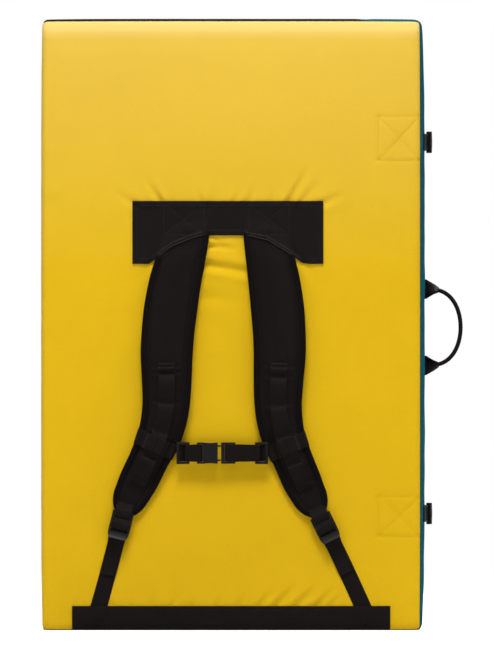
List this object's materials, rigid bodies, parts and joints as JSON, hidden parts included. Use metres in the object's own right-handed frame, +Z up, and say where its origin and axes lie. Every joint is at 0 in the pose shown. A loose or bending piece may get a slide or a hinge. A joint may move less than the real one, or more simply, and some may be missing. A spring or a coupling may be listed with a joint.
{
  "type": "bouldering crash pad",
  "caption": "Folding foam landing pad for climbers, closed and upright, with padded shoulder straps, chest strap, side-release buckles, ladder locks and a webbing carry handle.",
  "frame": {"origin": "bottom centre of the bounding box of the closed pad standing on its short edge", "axes": "+Z up, +X towards the open side with the carry handle, -Y towards the shoulder straps"},
  "size_m": [0.6918, 0.2302, 1.003],
  "materials": {
    "shell_yellow": "coarse woven nylon",
    "gusset_black": "coarse woven nylon",
    "gusset_blue": "coarse woven nylon",
    "landing_black": "coarse woven nylon",
    "foam_firm": "closed-cell foam",
    "foam_soft": "open-cell foam",
    "webbing_black": "ribbed webbing",
    "strap_black": "woven nylon",
    "mesh_black": "spacer mesh",
    "plastic_black": "moulded, lightly textured"
  },
  "bodies": {
    "front_half": {"front_outer_shell": "shell_yellow", "front_open_gusset": "gusset_blue", "front_top_gusset": "gusset_black", "front_bottom_gusset": "gusset_black", "front_landing_panel": "landing_black", "front_foam_landing": "foam_firm", "front_foam_core": "foam_soft", "front_foam_base": "foam_firm", "fold_hinge_strip": "webbing_black", "yoke_patch": "webbing_black", "bottom_band": "webbing_black", "upper_closure_female_buckle": "plastic_black", "lower_closure_female_buckle": "plastic_black", "upper_closure_front_webbing": "webbing_black", "lower_closure_front_webbing": "webbing_black", "handle_tab_low": "webbing_black", "handle_tab_high": "webbing_black", "left_adjuster_webbing": "webbing_black", "right_adjuster_webbing": "webbing_black"},
    "rear_half": {"rear_outer_shell": "shell_yellow", "rear_open_gusset": "gusset_blue", "rear_top_gusset": "gusset_black", "rear_bottom_gusset": "gusset_black", "rear_landing_panel": "landing_black", "rear_foam_landing": "foam_firm", "rear_foam_core": "foam_soft", "rear_foam_base": "foam_firm", "upper_closure_male_buckle": "plastic_black", "upper_closure_latch_arm_low": "plastic_black", "upper_closure_latch_arm_high": "plastic_black", "upper_closure_rear_webbing": "webbing_black", "lower_closure_male_buckle": "plastic_black", "lower_closure_latch_arm_low": "plastic_black", "lower_closure_latch_arm_high": "plastic_black", "lower_closure_rear_webbing": "webbing_black"},
    "handle": {"side_handle": "webbing_black"},
    "left_strap": {"left_strap_mesh": "mesh_black", "left_strap_foam": "foam_firm", "left_strap_face": "strap_black", "left_strap_binding": "webbing_black", "left_daisy_chain": "webbing_black", "left_sternum_band": "webbing_black", "left_lock_loop": "webbing_black", "left_ladder_lock": "plastic_black", "left_sternum_slider": "plastic_black", "sternum_left_webbing": "webbing_black", "sternum_female_buckle": "plastic_black"},
    "right_strap": {"right_strap_mesh": "mesh_black", "right_strap_foam": "foam_firm", "right_strap_face": "strap_black", "right_strap_binding": "webbing_black", "right_daisy_chain": "webbing_black", "right_sternum_band": "webbing_black", "right_lock_loop": "webbing_black", "right_ladder_lock": "plastic_black", "right_sternum_slider": "plastic_black", "sternum_right_webbing": "webbing_black"},
    "sternum_plug": {"sternum_male_buckle": "plastic_black", "sternum_latch_arm_low": "plastic_black", "sternum_latch_arm_high": "plastic_black"}
  },
  "joints": [
    {"name": "fold", "type": "hinge", "parent": "front_half", "child": "rear_half", "pos_m": [-0.34748, 0.01507, 0], "axis": [0, 0, 1], "range_deg": [0, 180], "deforming": ["fold_hinge_strip", "upper_closure_latch_arm_low", "upper_closure_latch_arm_high", "lower_closure_latch_arm_low", "lower_closure_latch_arm_high"]},
    {"name": "handle_swing", "type": "hinge", "parent": "front_half", "child": "handle", "pos_m": [0.28791, 0.00307, 0.4343], "axis": [0, 0, 1], "range_deg": [-60, 60], "stiffness_Nm_per_rad": 0.05},
    {"name": "left_strap_lift", "type": "hinge", "parent": "front_half", "child": "left_strap", "pos_m": [-0.02978, -0.08714, 0.6476], "axis": [-1, 0, 0], "range_deg": [0, 20], "deforming": ["left_adjuster_webbing"]},
    {"name": "right_strap_lift", "type": "hinge", "parent": "front_half", "child": "right_strap", "pos_m": [-0.02978, -0.08714, 0.6476], "axis": [-1, 0, 0], "range_deg": [0, 20], "deforming": ["right_adjuster_webbing"]},
    {"name": "sternum_release", "type": "slide", "parent": "right_strap", "child": "sternum_plug", "axis": [1, 0, 0], "range_m": [0, 0.024], "deforming": ["sternum_latch_arm_low", "sternum_latch_arm_high", "sternum_right_webbing"]}
  ],
  "couplings": [
    {"joint": "right_strap_lift", "follows": "left_strap_lift", "ratio": 1}
  ]
}
